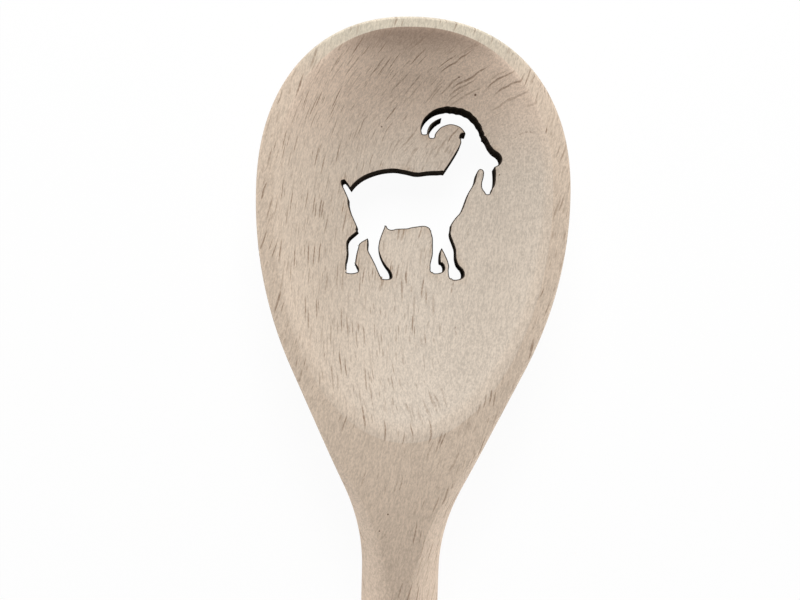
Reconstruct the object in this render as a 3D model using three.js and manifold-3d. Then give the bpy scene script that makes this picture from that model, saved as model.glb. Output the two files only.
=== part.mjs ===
import * as THREE from 'three';
import { mergeVertices } from 'three/addons/utils/BufferGeometryUtils.js';
import Module from 'manifold-3d';

// A cooking spoon, milled and turned from one piece of beech, with the figure of a goat cut through its bowl.
// Millimetres. The tip points to +Y, the hollow faces +Z, and the origin lies under the middle of the spoon.

const { sin, cos, tan, asin, abs, sign, sqrt, PI } = Math;
const { degToRad, lerp, smoothstep } = THREE.MathUtils;

// Outline, seen from above
const spoonLength = 300;
const bowlWidth = 60;
const tipLength = 33.9; // from the tip to where the bowl is widest and deepest
const tipFullness = 2.23; // exponent of the tip's superellipse
const shoulderRadius = 76;
const flankAngle = degToRad(26.1); // between the straight flank and the middle line
const neckRadius = 36.8;
const sway = 0.6; // the tip and the handle lie this far to -X of the bowl's middle

// Handle
const neckDiameter = 14.9;
const gripDiameter = 15.8;
const endDiameter = 13.2;
const gripDistance = 90; // from the handle's end to its thickest place
const domeLength = 5; // the rounded end

// Heights
const bowlHeight = 16;
const edgeRadius = 0.6; // round-over of the rim's outer edge
const handleDrop = 0.6; // top of the handle under the rim plane
const backFullness = 2; // exponent of the back's curve from the tip down to its lowest place
const flatRunOut = 9; // how far the flat of the neck runs on along the handle before it fades away

// Hollow of the bowl
const hollowDepth = 10;
const sideRim = 3.4;
const tipRim = 2.1;
const neckFullness = 2; // exponent of the hollow's outline towards the neck
const throatLength = 8.5; // from the hollow's end to where the neck begins to curve
const overshootShare = 1.1; // the cutting shape runs on past the rim by this share

// Goat
const goatHeight = 34;
const goatTurn = degToRad(0.5); // the goat's own upright leans this far to -X of the spoon's middle line
const goatOffset = 0.1; // the goat's middle lies this far to +X of the bowl's
const hoofDistance = 50.5; // from the tip to the line that the goat stands on
const throughMargin = 2; // the cutting shape stands out this far above and below the bowl

// Fineness
const tipSteps = 16;
const runSteps = 6; // along each stretch of the outline after the tip
const edgeSteps = 4;
const backSteps = 20;
const hollowSpokes = 64;
const hollowRings = 10;
const curveSteps = 3; // between two points of the figure
const endSteps = 6; // round the end of a limb

// The goat on a grid that is 100 units high, with its hooves on y = 0 and its head to +X.
// The trunk and the head are smooth closed outlines; a limb is a stroke along points of x, y and half width.
const figureUnits = 100;
const trunk = [
	[-37.1, 46.5], [-36, 53.4], [-30, 59.8], [-21, 64], [-12, 65.6], [-5, 64.9], [2, 63.6], [9, 64.5],
	[16.8, 64.5], [24, 58], [28.8, 45.5], [27.6, 40.6], [25.1, 37.7], [22.7, 34.1], [21.7, 31], [15, 29.5],
	[11.3, 30.4], [10.4, 31.7], [9, 32.6], [6.5, 32.9], [0, 31.8], [-8, 30.2], [-12.4, 29.4],
	[-15.8, 32.7], [-23, 29], [-31.4, 29], [-31.9, 31.8], [-33.6, 35.6], [-35.9, 40.8]
];
const head = [
	[17.4, 64], [20, 68.4], [22.9, 73.8], [25.5, 77.8], [26.4, 80.6], [33, 86], [40.4, 84.2], [43.8, 79],
	[46, 76.3], [49, 74], [50.4, 71.3], [49.7, 68.7], [47.9, 67.4], [45.5, 66.7], [42, 66.2], [38.8, 65.7],
	[37.2, 64.8], [36.5, 62.6], [35.9, 59.4], [34.6, 56.4], [32.5, 52.8], [31.3, 49.5], [29.6, 43.5],
	[20, 50]
];
const limbs = {
	ear: [[33, 82.5, 2.5], [29, 84.4, 1.9], [27.3, 84.8, 1.2]],
	beard: [
		[42.8, 67, 2.5], [43, 63, 2.6], [43.2, 60, 3.1], [43.2, 57.4, 3.4], [42.9, 55.4, 2.95],
		[43.1, 53.4, 1.95], [43.2, 51.6, 1]
	],
	tail: [[-35, 47.5, 2.6], [-37.6, 52, 1.8], [-39.6, 56, 1.3], [-40.3, 57.6, 0.8]],
	nearHindLeg: [
		[-21.7, 33, 6], [-22, 26.5, 3.9], [-22.2, 22.5, 3.1], [-22.3, 18.9, 2.95], [-20.9, 15, 2.4],
		[-18.9, 10.9, 2.25], [-17, 7.5, 2.6], [-15.5, 5.2, 3], [-14.1, 3.3, 3],
		[-13.2, 1.7, 2.5]
	],
	farHindLeg: [
		[-24, 30.5, 4], [-31.2, 25, 3], [-33.7, 22.1, 3.3], [-34.1, 19.5, 3.1], [-34.4, 15.8, 2.5],
		[-34.9, 11.5, 2.4], [-35.1, 9.8, 2.5], [-34.6, 7.6, 3], [-34.1, 6.3, 3.5], [-33.7, 5.4, 3.3]
	],
	nearForeLeg: [
		[17.3, 32, 4.7], [18.9, 26.8, 3.45], [20.4, 22.5, 3.5], [21.9, 19, 3.3], [22.6, 16.4, 2.85],
		[23.2, 14, 2.4], [23.8, 11.9, 2.3], [24.4, 9.8, 2.55], [25, 7.6, 3.5], [25.9, 5.4, 4.2],
		[26.6, 3.7, 4], [26.8, 2.8, 3]
	],
	farForeLeg: [
		[16.9, 33, 5.6], [16.6, 29.3, 5.3], [16.2, 25.8, 4.1], [15.2, 21.8, 2.9], [14.6, 18.6, 2.2],
		[14.4, 15.8, 2.05], [14.1, 12.6, 2.45], [14.2, 10.6, 3.1], [14.9, 8.9, 4], [15.5, 7.3, 3.9],
		[15.7, 6.4, 3]
	],
	farHorn: [
		[36.8, 81, 3], [36.5, 85.3, 3.1], [33.6, 91.1, 3], [28.8, 95.5, 3], [22.6, 97.4, 2.8],
		[17.2, 97.9, 2.6], [12.5, 96.6, 2.5], [8.3, 93.4, 2.2], [6.35, 89.5, 1.9], [6.3, 86.4, 1.45]
	],
	nearHorn: [
		[34.6, 81, 3.4], [34.2, 84.3, 3.4], [31.9, 89.4, 3.2], [27.65, 93, 3], [21.3, 94.3, 2.6],
		[15.35, 92.3, 2.2], [12.3, 89.6, 2.1], [10.8, 86.9, 1.8], [10.7, 84.4, 1.4]
	]
};
const endBulge = 0.5; // how far a limb's rounded end stands out, as a share of its half width there

// Places along the spoon, measured from the tip, and the half widths there
const bowlHalf = bowlWidth / 2;
const neckHalf = neckDiameter / 2;
const gripHalf = gripDiameter / 2;
const endHalf = endDiameter / 2;
const flankStart = tipLength + shoulderRadius * sin(flankAngle);
const flankStartHalf = bowlHalf - shoulderRadius * (1 - cos(flankAngle));
const flankEndHalf = neckHalf + neckRadius * (1 - cos(flankAngle));
const flankEnd = flankStart + (flankStartHalf - flankEndHalf) / tan(flankAngle);
const handleStart = flankEnd + neckRadius * sin(flankAngle);
const hollowEnd = flankEnd - throatLength;
const flatEnd = handleStart + flatRunOut;
const gripMiddle = spoonLength - gripDistance;
const domeStart = spoonLength - domeLength;
const handleAxis = bowlHeight - handleDrop - neckHalf;

const wasm = await Module();
wasm.setup();

function arcHeight(distance, radius) {
	return sqrt(radius ** 2 - distance ** 2);
}

function superellipse(share, fullness) {
	return (1 - share ** fullness) ** (1 / fullness);
}

function blend(from, to, place, start, end) {
	return lerp(from, to, smoothstep(place, start, end));
}

// Half width of the handle: a gentle swell to the grip, then a taper to the domed end
function handleHalf(place) {
	if (place < gripMiddle) return blend(neckHalf, gripHalf, place, flatEnd, gripMiddle);
	if (place < domeStart) return blend(gripHalf, endHalf, place, gripMiddle, domeStart);
	return endHalf * sqrt(1 - ((place - domeStart) / domeLength) ** 2);
}

// Half width of the spoon: full round tip, shoulder arc, straight flank, neck arc, handle
function outlineHalf(place) {
	if (place < tipLength) return bowlHalf * superellipse(1 - place / tipLength, tipFullness);
	if (place < flankStart) return bowlHalf - shoulderRadius + arcHeight(place - tipLength, shoulderRadius);
	if (place < flankEnd) return flankStartHalf - (place - flankStart) * tan(flankAngle);
	if (place < handleStart) return neckHalf + neckRadius - arcHeight(handleStart - place, neckRadius);
	return handleHalf(place);
}

// Half width of the flat top face: the outline set in by the round-over, fading away along the neck
function flatHalf(place) {
	if (place <= edgeRadius) return 0;
	const tipShare = (tipLength - place) / (tipLength - edgeRadius);
	const tipInset = (bowlHalf - edgeRadius) * superellipse(tipShare, tipFullness);
	const inset = place < tipLength ? tipInset : outlineHalf(place) - edgeRadius;
	return blend(inset, 0, place, hollowEnd, flatEnd);
}

function topHeight(place) {
	if (place < edgeRadius) return bowlHeight - edgeRadius + arcHeight(edgeRadius - place, edgeRadius);
	if (place < flatEnd) return bowlHeight - handleDrop * smoothstep(place, flankEnd, flatEnd);
	return handleAxis + handleHalf(place);
}

// Height at which the section is widest: close under the rim on the bowl, on the axis of the round handle
function sideHeight(place) {
	return blend(bowlHeight - edgeRadius, handleAxis, place, hollowEnd, flatEnd);
}

function backHeight(place) {
	const edgeHeight = bowlHeight - edgeRadius;
	if (place < tipLength) return edgeHeight * (1 - superellipse(1 - place / tipLength, backFullness));
	if (place < flatEnd) return blend(0, handleAxis - neckHalf, place, tipLength, flatEnd);
	return handleAxis - handleHalf(place);
}

function middleLine(place) {
	return -sway * (1 - (outlineHalf(place) / bowlHalf) ** 2);
}

// One closed section: a flat top, its edges, and a half-elliptical back. Along the bowl the edges are rounded
// over; from the shoulders to the neck they turn into an ellipse that the flat cuts at a crease
function section(place) {
	const half = outlineHalf(place);
	const flat = flatHalf(place);
	const top = topHeight(place);
	const side = sideHeight(place);
	const back = backHeight(place);
	const edge = [];
	const crease = smoothstep(place, flankStart, hollowEnd);
	const creaseTurn = half > 0 ? asin(flat / half) : 0;
	for (let step = 0; step <= edgeSteps; step++) {
		const round = step / edgeSteps * PI / 2;
		const cut = creaseTurn + (PI / 2 - creaseTurn) * step / edgeSteps;
		const x = lerp(flat + (half - flat) * sin(round), half * sin(cut), crease);
		const rise = lerp(cos(round), cos(cut) / cos(creaseTurn), crease);
		edge.push([x, side + (top - side) * rise]);
	}
	const belly = [];
	for (let step = 1; step < backSteps; step++) {
		const turn = step / backSteps * PI;
		belly.push([-half * cos(turn), side - (side - back) * sin(turn)]);
	}
	const points = [...edge.map(([x, z]) => [-x, z]), ...belly, ...edge.reverse()];
	return points.map(([x, z]) => [middleLine(place) + x, spoonLength / 2 - place, z]);
}

// Places of the sections: close together at the round tip and at the domed end
function sectionPlaces() {
	const places = [];
	for (let step = 0; step < tipSteps; step++) {
		places.push(tipLength * (1 - cos(step / tipSteps * PI / 2)));
	}
	const stretches = [tipLength, flankStart, flankEnd, handleStart, flatEnd, gripMiddle, domeStart];
	for (let stretch = 1; stretch < stretches.length; stretch++) {
		const start = stretches[stretch - 1];
		const run = stretches[stretch] - start;
		for (let step = 0; step < runSteps; step++) places.push(start + run * step / runSteps);
	}
	for (let step = 0; step < runSteps; step++) {
		places.push(domeStart + domeLength * sin(step / runSteps * PI / 2));
	}
	places.push(spoonLength);
	return places;
}

// A closed skin over rings of points; the first and the last ring are drawn together to a point or a lid
function skin(rings) {
	const count = rings[0].length;
	const index = [];
	for (let ring = 1; ring < rings.length; ring++) {
		for (let point = 0; point < count; point++) {
			const a = (ring - 1) * count + point;
			const b = (ring - 1) * count + (point + 1) % count;
			index.push(a, b, b + count, a, b + count, a + count);
		}
	}
	const geometry = new THREE.BufferGeometry();
	geometry.setAttribute('position', new THREE.Float32BufferAttribute(rings.flat(2), 3));
	geometry.setIndex(index);
	return geometry;
}

// A geometry as a solid: shared points are merged, and triangles that collapse to a line are dropped
function solid(geometry) {
	const bare = new THREE.BufferGeometry();
	bare.setAttribute('position', geometry.getAttribute('position'));
	bare.setIndex(geometry.getIndex());
	const merged = mergeVertices(bare);
	const corners = merged.getIndex().array;
	const triangles = [];
	for (let corner = 0; corner < corners.length; corner += 3) {
		const [a, b, c] = corners.subarray(corner, corner + 3);
		if (a !== b && b !== c && c !== a) triangles.push(a, b, c);
	}
	return new wasm.Manifold(new wasm.Mesh({
		numProp: 3,
		vertProperties: merged.getAttribute('position').array,
		triVerts: new Uint32Array(triangles)
	}));
}

function geometryOf(body) {
	const mesh = body.getMesh();
	const geometry = new THREE.BufferGeometry();
	geometry.setAttribute('position', new THREE.BufferAttribute(mesh.vertProperties, 3));
	geometry.setIndex(new THREE.BufferAttribute(mesh.triVerts, 1));
	geometry.computeVertexNormals();
	return geometry;
}

function blank() {
	return solid(skin(sectionPlaces().map(section)));
}

// The hollow: an egg-shaped dish whose depth falls off with the square of the way out to its rim
function hollow() {
	const rings = [];
	for (let ring = 0; ring <= hollowRings; ring++) {
		const reach = overshootShare * ring / hollowRings;
		const points = [];
		for (let spoke = 0; spoke < hollowSpokes; spoke++) {
			const turn = spoke / hollowSpokes * 2 * PI;
			const fullness = sin(turn) > 0 ? tipFullness : neckFullness;
			const length = sin(turn) > 0 ? tipLength - tipRim : hollowEnd - tipLength;
			const across = (bowlHalf - sideRim) * sign(cos(turn)) * abs(cos(turn)) ** (2 / fullness);
			const along = length * sign(sin(turn)) * abs(sin(turn)) ** (2 / fullness);
			const place = Math.max(tipLength - reach * along, 0);
			const height = bowlHeight - hollowDepth * (1 - reach ** 2);
			points.push([middleLine(place) + reach * across, spoonLength / 2 - tipLength + reach * along, height]);
		}
		rings.push(points);
	}
	const lidHeight = rings.at(-1)[0][2];
	rings.push(rings[0].map(([x, y]) => [x, y, lidHeight]));
	return solid(skin(rings));
}

function smoothCurve(points, closed) {
	const nodes = points.map(([x, y, half = 0]) => new THREE.Vector3(x, y, half));
	const spans = closed ? nodes.length : nodes.length - 1;
	const curve = new THREE.CatmullRomCurve3(nodes, closed, 'catmullrom');
	return curve.getPoints(spans * curveSteps);
}

function roundOutline(points) {
	return smoothCurve(points, true).slice(1).map(({ x, y }) => new THREE.Vector2(x, y));
}

// A stroke along points that carry a half width: square where it starts inside the trunk, rounded at its end
function limbOutline(points) {
	const line = smoothCurve(points, false);
	const last = line.length - 1;
	const along = (node) => {
		const before = line[Math.max(node - 1, 0)];
		const after = line[Math.min(node + 1, last)];
		return new THREE.Vector2(after.x - before.x, after.y - before.y).normalize();
	};
	const offset = (node, forward, aside) => {
		const { x, y } = along(node);
		const step = new THREE.Vector2(forward * x - aside * y, forward * y + aside * x);
		return step.multiplyScalar(line[node].z).add(line[node]);
	};
	const left = line.map((_, node) => offset(node, 0, 1));
	const right = line.map((_, node) => offset(node, 0, -1));
	const rounding = [];
	for (let step = 1; step < endSteps; step++) {
		const turn = step / endSteps * PI;
		rounding.push(offset(last, endBulge * sin(turn), cos(turn)));
	}
	return [...left, ...rounding, ...right.reverse()];
}

// The goat as a straight prism through the bowl
function goat() {
	const outlines = [
		roundOutline(trunk),
		roundOutline(head),
		...Object.values(limbs).map(limbOutline)
	];
	const scale = goatHeight / figureUnits;
	const depth = bowlHeight + 2 * throughMargin;
	const prisms = outlines.map((outline) => {
		const geometry = new THREE.ExtrudeGeometry(new THREE.Shape(outline), { depth: 1, bevelEnabled: false });
		geometry.scale(scale, scale, depth);
		geometry.rotateZ(goatTurn);
		geometry.translate(goatOffset, spoonLength / 2 - hoofDistance, -throughMargin);
		return solid(geometry);
	});
	return prisms.reduce((whole, prism) => whole.add(prism));
}

const beech = new THREE.MeshStandardMaterial({ color: 0xcdbcac, roughness: 0.75, metalness: 0 });

const spoon = new THREE.Mesh(geometryOf(blank().subtract(hollow()).subtract(goat())), beech);
spoon.name = 'spoon';

const cookingSpoon = new THREE.Group();
cookingSpoon.add(spoon);

export default cookingSpoon;
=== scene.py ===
"""A beech cooking spoon with the figure of a goat cut through its bowl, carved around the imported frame.

Metres. The tip of the bowl points to +Y, the hollow faces +Z and the back of the bowl lies on z = 0.
"""
import math

import bmesh
import bpy
import numpy as np
from mathutils import Matrix, Vector


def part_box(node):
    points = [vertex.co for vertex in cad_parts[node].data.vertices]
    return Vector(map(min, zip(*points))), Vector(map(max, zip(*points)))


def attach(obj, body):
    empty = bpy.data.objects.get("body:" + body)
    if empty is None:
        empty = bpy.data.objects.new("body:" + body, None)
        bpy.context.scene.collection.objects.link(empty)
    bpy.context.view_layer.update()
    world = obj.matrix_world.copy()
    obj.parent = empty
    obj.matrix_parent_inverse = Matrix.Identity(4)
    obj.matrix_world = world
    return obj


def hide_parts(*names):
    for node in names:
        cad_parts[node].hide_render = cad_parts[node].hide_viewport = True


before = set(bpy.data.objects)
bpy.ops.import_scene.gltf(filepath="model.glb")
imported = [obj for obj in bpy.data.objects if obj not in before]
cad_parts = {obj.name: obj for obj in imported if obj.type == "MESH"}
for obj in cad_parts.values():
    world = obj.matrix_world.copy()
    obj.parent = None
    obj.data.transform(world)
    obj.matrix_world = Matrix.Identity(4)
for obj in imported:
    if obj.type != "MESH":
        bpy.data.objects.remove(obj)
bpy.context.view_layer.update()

bl_info = {
    "name": "Cooking Spoon",
    "version": (1, 0, 0),
    "blender": (4, 5, 0),
    "location": "View3D > Sidebar > Spoon",
    "description": "Carves a beech cooking spoon with a goat cut through its bowl",
    "category": "Add Mesh",
}

SPOON_LOW, SPOON_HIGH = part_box("spoon")
MM = 0.001

# Fineness of the meshes
LEAST_LENGTH = 1e-9  # stands in for zero where a length divides, and edges this short are dissolved
MERGE_DISTANCE = 0.5e-6
SHARP_ANGLE = math.radians(14)
TIP_SECTIONS = 72
HEAD_SPACING = 0.6 * MM
HANDLE_SPACING = 2.5 * MM
DOME_SECTIONS = 14
EDGE_STEPS = 12
BACK_STEPS = 88
HOLLOW_SPOKES = 288
DISH_RINGS = 34
EASE_RINGS = 30
CURVE_STEPS = 12
END_STEPS = 12

# The flat top of the neck narrows from this far before the hollow's end, by this power of the way
FLAT_LEAD = 3 * MM
FLAT_POWER = 1.7

# How the hollow's edge is eased. A reach is the share of the way from the hollow's middle to its edge.
EASED_REACH = (0.88, 1.11)  # where the cutter's rings lie close together
EASE_SLOPE = 0.04  # of the plane that the dish is eased into, across the bowl
DRAWN_REACH = (0.6, 1)  # where the rings begin to be drawn in, and where they are drawn in most
DRAWN_IN = 33  # how much reach is taken away there for each metre of easing
NECKWARD = (-0.5, 0.9)  # sines of the direction between which the tip's easing turns into the neck's

# The goat on a grid that is 100 units high, with its hooves on y = 0 and its head to +X.
# The trunk and the head are smooth closed outlines; a limb is a stroke along points of x, y and half width.
FIGURE_UNITS = 100
TRUNK = [
    (-37.1, 46.5), (-36, 53.4), (-30, 59.8), (-21, 64), (-12, 65.6), (-5, 64.9), (2, 63.6), (9, 64.4),
    (14, 64.6), (19, 64.2), (24, 58), (28.6, 46), (28.2, 41.6), (25.1, 37.7), (22.7, 34.1), (21.7, 31),
    (15, 29.5), (11.3, 30.4), (10.4, 31.7), (9, 32.6), (6.5, 33.1), (0, 32.2), (-2.6, 31.5), (-8.6, 31.1),
    (-11.8, 30.4), (-14, 31.1), (-15.9, 32.8), (-23, 29), (-31.4, 29), (-31.9, 31.8), (-33.6, 35.6),
    (-35.9, 40.8),
]
HEAD = [
    (15.6, 60.6), (17.9, 64.2), (20.9, 68.8), (24, 73.8), (26.6, 78.4), (27.7, 81.1), (28, 83.6), (33, 86),
    (40.4, 84.2), (43.8, 79), (46, 76.3), (49, 74), (50.4, 71.3), (49.7, 68.7), (47.9, 67.4), (45.5, 66.4),
    (42.7, 64.2), (41.2, 64.2), (40.3, 65.5), (38.9, 66), (37.5, 65.1), (36.6, 62.8), (35.9, 59.4),
    (34.6, 56.4), (32.5, 52.8), (31.2, 49.5), (30, 46), (28.7, 42.8), (27, 41.2), (20, 46),
]
LIMBS = {
    "ear": [(33, 82.5, 2.5), (29, 84.4, 1.9), (27.3, 84.8, 1.2)],
    "beard": [
        (43.8, 67, 3), (44.1, 63, 3.05), (43.9, 60, 3.25), (43.4, 57.4, 3.35), (43.1, 55.4, 2.95),
        (43.3, 53.4, 1.95), (43.4, 51.6, 1),
    ],
    "tail": [(-34.4, 47.5, 2.4), (-37.2, 52, 1.7), (-39.6, 56, 1.3), (-40.3, 57.6, 0.8)],
    "near_hind_leg": [
        (-21.7, 33, 6), (-22, 26.5, 3.9), (-22.2, 22.5, 3.1), (-22.3, 18.9, 2.95), (-20.9, 15, 2.4),
        (-18.9, 10.9, 2.25), (-17, 7.5, 2.6), (-15.5, 5.2, 3), (-14.4, 3.4, 3),
        (-14.3, 2.3, 2.9),
    ],
    "far_hind_leg": [
        (-24, 30.5, 4), (-31.2, 25, 3), (-33.7, 22.1, 3.3), (-34.1, 19.5, 3.1), (-34.4, 15.8, 2.5),
        (-34.9, 11.5, 2.4), (-35.1, 9.8, 2.5), (-34.6, 7.6, 3), (-34.2, 6.3, 3.5), (-34.1, 5.4, 3.4),
    ],
    "near_fore_leg": [
        (17.3, 32, 4.7), (18.9, 26.8, 3.45), (20.4, 22.5, 3.5), (21.9, 19, 3.3), (22.6, 16.4, 2.85),
        (23.2, 14, 2.4), (23.8, 11.9, 2.3), (24.4, 9.8, 2.55), (25, 7.6, 3.5), (25.9, 5.4, 4.2),
        (26.6, 3.7, 4), (26.8, 2.8, 3),
    ],
    "far_fore_leg": [
        (16.9, 33, 5.6), (16.6, 29.3, 5.3), (16.2, 25.8, 4.1), (15.2, 21.8, 2.9), (14.6, 18.6, 2.2),
        (14.4, 15.8, 2.05), (14.1, 12.6, 2.45), (14.2, 10.6, 3.1), (14.9, 8.9, 4), (15.5, 7.3, 3.9),
        (15.7, 6.4, 3),
    ],
    "near_horn": [
        (34.6, 81, 3.4), (34.2, 84.3, 3.4), (31.9, 89.4, 3.2), (27.65, 93, 3), (21.3, 94.3, 2.6),
        (15.35, 92.3, 2.2), (12.3, 89.6, 2.1), (10.8, 86.9, 1.8), (10.7, 84.4, 1.4),
    ],
}
RIDGED_HORN = [
    (36.8, 81, 3), (36.5, 85.3, 3.1), (33.6, 91.1, 3), (28.8, 95.5, 3), (22.6, 97.4, 2.8),
    (17.2, 97.9, 2.6), (12.5, 96.6, 2.5), (8.3, 93.4, 2.2), (6.35, 89.5, 1.9), (6.3, 86.4, 1.45),
]
END_BULGE = 0.3  # how far a limb's rounded end stands out, as a share of its half width there
LEAN = {  # how far the cut wanders to the right, in units, from the hollow to the back at a limb's end
    "beard": 0.9, "near_hind_leg": -1.8, "far_hind_leg": -1.2, "near_fore_leg": -1, "far_fore_leg": -0.9,
}
CUT_CLEARANCE = 0.3 * MM  # how far the flare of the cutter reaches past the wood
THROUGH_MARGIN = 2 * MM  # how far the cutter stands out of the bowl on both sides

# How the log was sawn: the wood's rays lie in planes square to TANGENT, and its fibres run along GRAIN
TANGENT = Vector((0.564, -0.152, -0.812)).normalized()
GRAIN = Vector((0.14, 1, -0.09)).normalized()
RADIAL = TANGENT.cross(GRAIN).normalized()
GRAIN = RADIAL.cross(TANGENT)

# Lumps of the wood's noise in millimetres across, along and through the grain
WAVER_LUMPS = (9, 22, 9)
BREAK_LUMPS = (0.25, 0.7, 0.5)
FIBRE_LUMPS = (0.28, 2.6, 0.5)
TONE_LUMPS = (7, 30, 9)
PORE_LUMPS = (0.16, 0.6, 0.3)
STREAK_LUMPS = (0.12, 0.12, 5)  # on the burnt walls, along the spoon's own axes
WAVER_REACH = 2.2  # how far the grain wanders, in millimetres

# Lumps in metres along the spoon's own axes
SCORCH_LUMPS = (3 * MM, 3 * MM, 3 * MM)
CUTTER_MARKS = (6 * MM, 0.5 * MM, 6 * MM)

# Flecks: a thickness is a share of the cell that each fleck lies in, and the short flecks' other values are
# shares of the long ones'
LONG_THICKNESS = 0.29
SHORT_THICKNESS = 0.22
SHORT_LENGTH = 0.35
SHORT_SPACING = 1.3
SHORT_DARKNESS = 0.5
THINNEST = 0.4  # thickness of the thinnest fleck as a share of the thickest
PALEST = 0.25  # darkness of the palest fleck as a share of the darkest
FLECK_CORE = 0.5  # share of a fleck's half width that has its full darkness
BROKEN = (0.3, 0.6, 0.5, 1.0)  # noise that breaks a fleck up, and its darkness there

# A fleck shows where the sine of the angle between the normal and TANGENT is past a start, and shows fully a
# span later
FLECK_START = 0.42
FLECK_SPAN = 0.18
BOWL_ALLOWANCE = 0.14  # how much earlier flecks show on the bowl
BOWL_PLACES = (66 * MM, 80 * MM)  # where the neck turns into the bowl
LEAST_SHOWN = 0.02  # keeps the division by what is shown safe
FLECK_DARKNESS = (0.35, 0.55)  # of a hidden fleck, and what a fleck that shows fully has more

# Where one tone of the wood turns into the next: along X for the left side, along Y for the others
LEFT_SIDE = (-24 * MM, 4 * MM)
LEFT_WARMTH = 0.6  # share of the sanded tone on the left of the hollow
LIP_DEPTH = 1.5 * MM
LIP_WARMTH = 0.5  # share of the sanded tone at the edge of the hollow
# Painted light: the paler tone of the hollow towards the tip comes in between these places
TIP_HOLLOW_LIGHT_PLACES = (118 * MM, 141 * MM)
# Painted shade: the dark tone of the steep wall under the tip's rim comes in between these places
TIP_WALL_SHADE_PLACES = (140.5 * MM, 147.5 * MM)
# Painted shade: the darker tone of the grip gives way to the bowl's between these places
GRIP_SHADE_PLACES = (40 * MM, 76 * MM)
SANDED_TIP = (137 * MM, 147 * MM)

# What each pattern adds to the shade and to the relief of the wood
SHADE = {"Tone": 0.1, "Fibre": 0.4, "Pore": 0.5}
SHADE_RANGE = (0.36, 0.64)
RELIEF = {"Pore": 0.5, "Fibre": 0.4}
FLECK_RELIEF = -0.8
MARK_RELIEF = 0.8
ROUGHNESS_SPAN = 0.16  # how much the fibres' noise changes the roughness
WOOD_BUMP = (0.5, 0.06 * MM)  # strength and height of the relief
WOOD_SHINE = 0.3  # level of the mirror-like reflection
SCORCH_PATCHES = (0.45, 0.7, 0.05, 0.4)  # noise that makes the browning uneven, and its strength there
SCORCH_FADE = 8  # reaches after which no browning is left

# The burnt walls: the noise at which the fibres and the streaks begin to show and show fully
CHAR_FIBRES = (0.4, 0.7)
CHAR_STREAKS = (0.35, 0.7)
CHAR_ROUGHNESS = (0.2, 0.8, 0.8, 0.95)  # noise of the streaks, and the roughness there
CHAR_BUMP = (0.4, 0.05 * MM)
CHAR_SHINE = 0

# Pin knots and pits that show as dark specks: place on the spoon and radius
SPECK_CORE = 0.4  # share of a speck's radius that has its full darkness
SPECKS = [
    (8.3 * MM, 139.3 * MM, 0.22 * MM),
    (11.6 * MM, 136.05 * MM, 0.3 * MM),
    (-6.5 * MM, 129.9 * MM, 0.2 * MM),
    (16.8 * MM, 120.8 * MM, 0.18 * MM),
    (-3.2 * MM, 55.1 * MM, 0.22 * MM),
    (-4.7 * MM, 51.9 * MM, 0.18 * MM),
]

# Each lamp's setting, the place along the spoon that it is aimed at, its compass direction and its height in
# degrees, its distance and its size
LAMPS = {
    "key_light": ("key_power", 90 * MM, 0, 40, 0.52, 0.3),
    "left_light": ("left_power", 35 * MM, 238, 3, 0.3, 0.05),
    "right_light": ("right_power", 35 * MM, 126, 3, 0.3, 0.05),
}
CAMERA_PLACE = (-2.25 * MM, 90.99 * MM)
CAMERA_TARGET = (-1.99 * MM, 95.73 * MM)
CAMERA_UP = Vector((-0.0264, 1, 0))
CAMERA_NEAREST = 0.01
FLOOR_REACH = 4.0


def length(name, description, default):
    return bpy.props.FloatProperty(
        name=name, description=description, default=default, min=0, precision=5,
        subtype="DISTANCE", unit="LENGTH",
    )


def share(name, description, default, top=1.0):
    return bpy.props.FloatProperty(name=name, description=description, default=default, min=0, max=top)


def power(name, description, default):
    return bpy.props.FloatProperty(name=name, description=description, default=default, min=0, unit="POWER")


def colour(name, description, default):
    return bpy.props.FloatVectorProperty(
        name=name, description=description, default=default, size=3, min=0, max=1, subtype="COLOR"
    )


class SpoonShape(bpy.types.PropertyGroup):
    """Sizes of the wooden blank and its hollow"""

    spoon_length: length("Length", "From the bowl's tip to the handle's end", SPOON_HIGH.y - SPOON_LOW.y)
    bowl_width: length("Bowl width", "Width of the bowl over its rim", SPOON_HIGH.x - SPOON_LOW.x)
    bowl_height: length("Bowl height", "From the lowest place of the back to the rim", SPOON_HIGH.z)
    tip_length: length("Tip length", "From the tip to where the bowl is widest and deepest", 33.9 * MM)
    tip_fullness: share("Tip fullness", "Exponent of the superellipse that rounds the tip", 2.23, 4)
    shoulder_radius: length("Shoulder radius", "Radius from the widest place to the flank", 76 * MM)
    flank_angle: bpy.props.FloatProperty(
        name="Flank angle", description="Between the straight flank and the middle line",
        default=math.radians(26.1), subtype="ANGLE", unit="ROTATION",
    )
    neck_radius: length("Neck radius", "Radius from the flank into the handle", 36.8 * MM)
    sway: length("Sway", "How far the tip and the handle lie to the left of the bowl's middle", 0.6 * MM)
    neck_diameter: length("Neck diameter", "Thickness of the handle at the neck", 14.9 * MM)
    grip_diameter: length("Grip diameter", "Thickness of the handle at its thickest place", 15.8 * MM)
    end_diameter: length("End diameter", "Thickness of the handle before its domed end", 13.2 * MM)
    grip_distance: length("Grip distance", "From the handle's end to its thickest place", 90 * MM)
    dome_length: length("Dome length", "Length of the rounded end", 5 * MM)
    edge_radius: length("Edge radius", "Round-over of the rim's outer edge", 0.6 * MM)
    handle_drop: length("Handle drop", "Top of the handle under the rim", 0.6 * MM)
    flat_run_out: length("Flat run-out", "How far the flat of the neck runs on along the handle", 9 * MM)
    hollow_depth: length("Hollow depth", "Depth of the hollow under the rim", 10 * MM)
    side_rim: length("Side rim", "Width of the flat rim at the sides", 3.4 * MM)
    tip_rim: length("Tip rim", "Width of the flat rim at the tip", 2.1 * MM)
    throat_length: length("Throat", "From the hollow's end to where the neck begins to curve", 8.5 * MM)
    tip_ease: length("Tip ease", "How far sanding has rounded the hollow's edge at the tip", 0.3 * MM)
    neck_ease: length("Neck ease", "How far sanding has rounded the hollow's edge at the neck", 0.75 * MM)


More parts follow.
